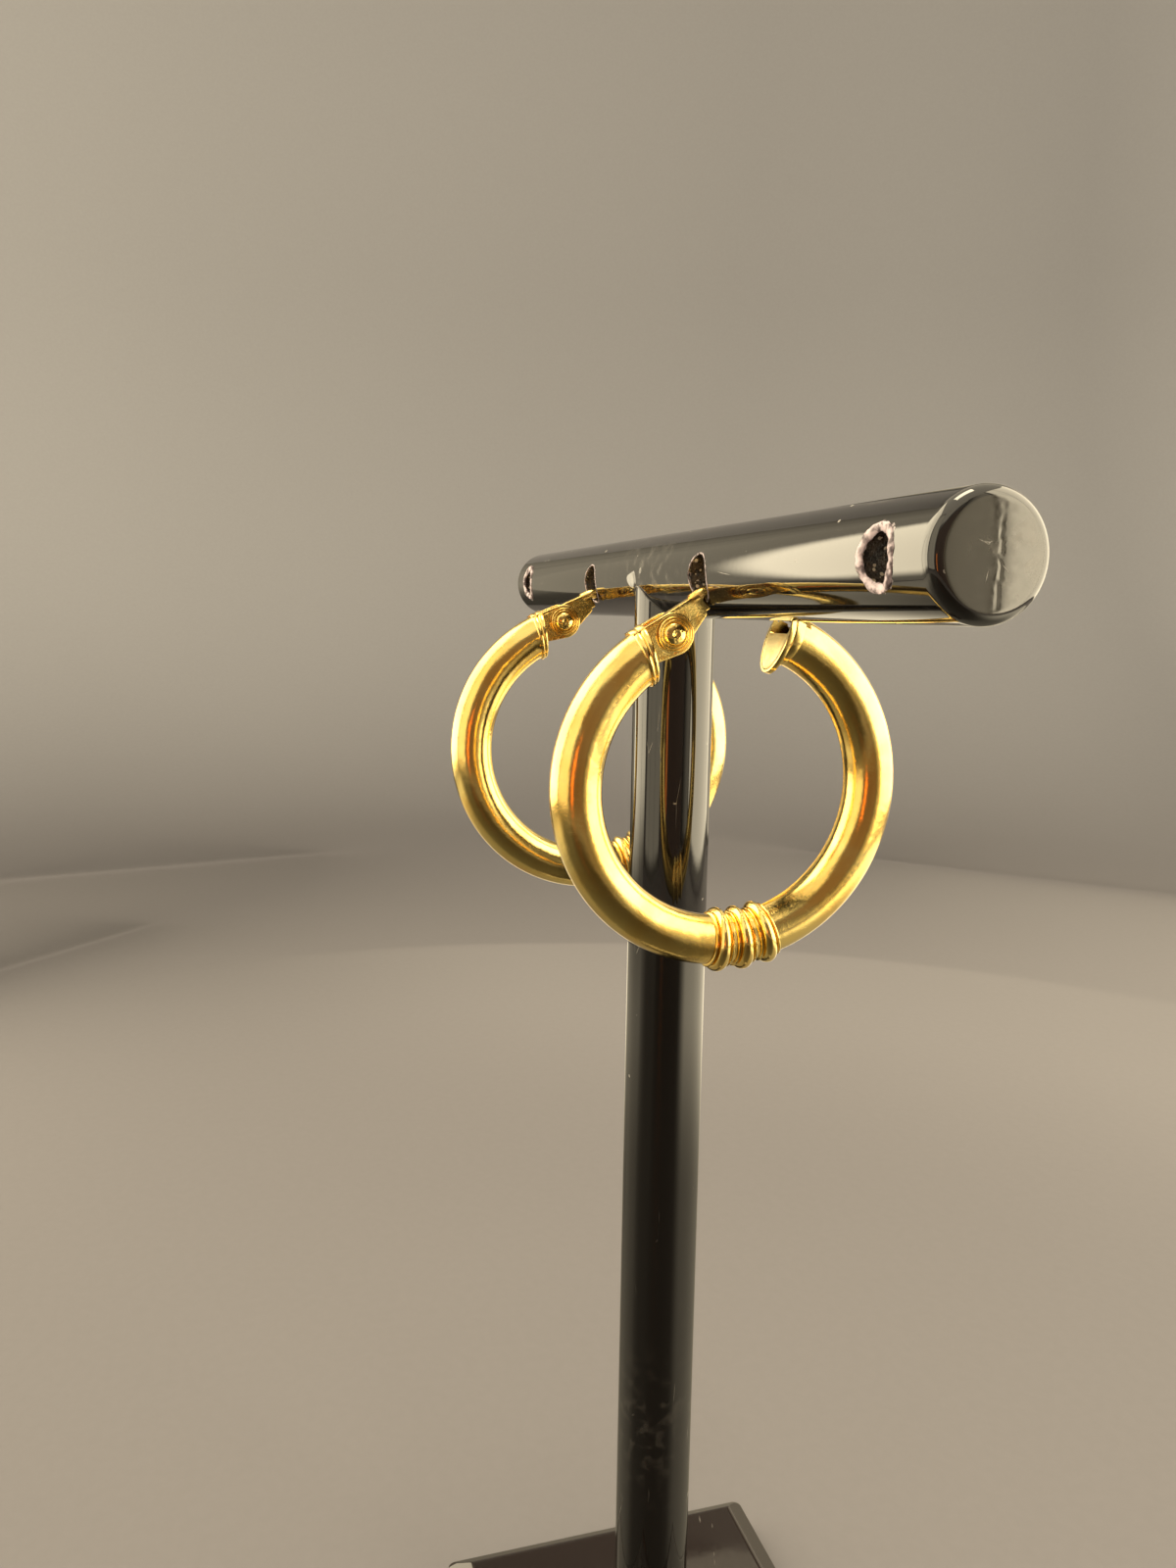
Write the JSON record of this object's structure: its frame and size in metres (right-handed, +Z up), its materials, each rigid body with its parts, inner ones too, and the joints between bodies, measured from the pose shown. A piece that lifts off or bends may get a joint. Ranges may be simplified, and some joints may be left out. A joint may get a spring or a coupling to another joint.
{
  "type": "hoop earrings on t-bar display stand",
  "caption": "Hinged tube hoop earrings with a beaded band, hanging by their snap wires from the drilled cross bar of a black T-bar display stand.",
  "frame": {"origin": "centre of the stand's underside, on the surface that it stands on", "axes": "+Z up along the post, +X along the cross bar towards its near end in the picture, +Y towards the hoops' free tips"},
  "size_m": [0.08, 0.0306, 0.0999],
  "materials": {
    "gold": "polished yellow gold with a fine satin grain",
    "black_acrylic": "polished"
  },
  "bodies": {
    "stand": {"base_plate": "black_acrylic", "upright_post": "black_acrylic", "cross_bar": "black_acrylic", "near_snap_wire": "gold", "far_snap_wire": "gold"},
    "near_hoop": {"near_hoop": "gold", "near_hinge_rivet": "gold"},
    "far_hoop": {"far_hoop": "gold", "far_hinge_rivet": "gold"}
  },
  "joints": [
    {"name": "near_hoop_hinge", "type": "hinge", "parent": "stand", "child": "near_hoop", "pos_m": [0.0123, -0.00498, 0.09255], "axis": [-1, 0, 0], "range_deg": [0, 70]},
    {"name": "far_hoop_hinge", "type": "hinge", "parent": "stand", "child": "far_hoop", "pos_m": [-0.0123, -0.00567, 0.09303], "axis": [-1, 0, 0], "range_deg": [0, 70]}
  ]
}
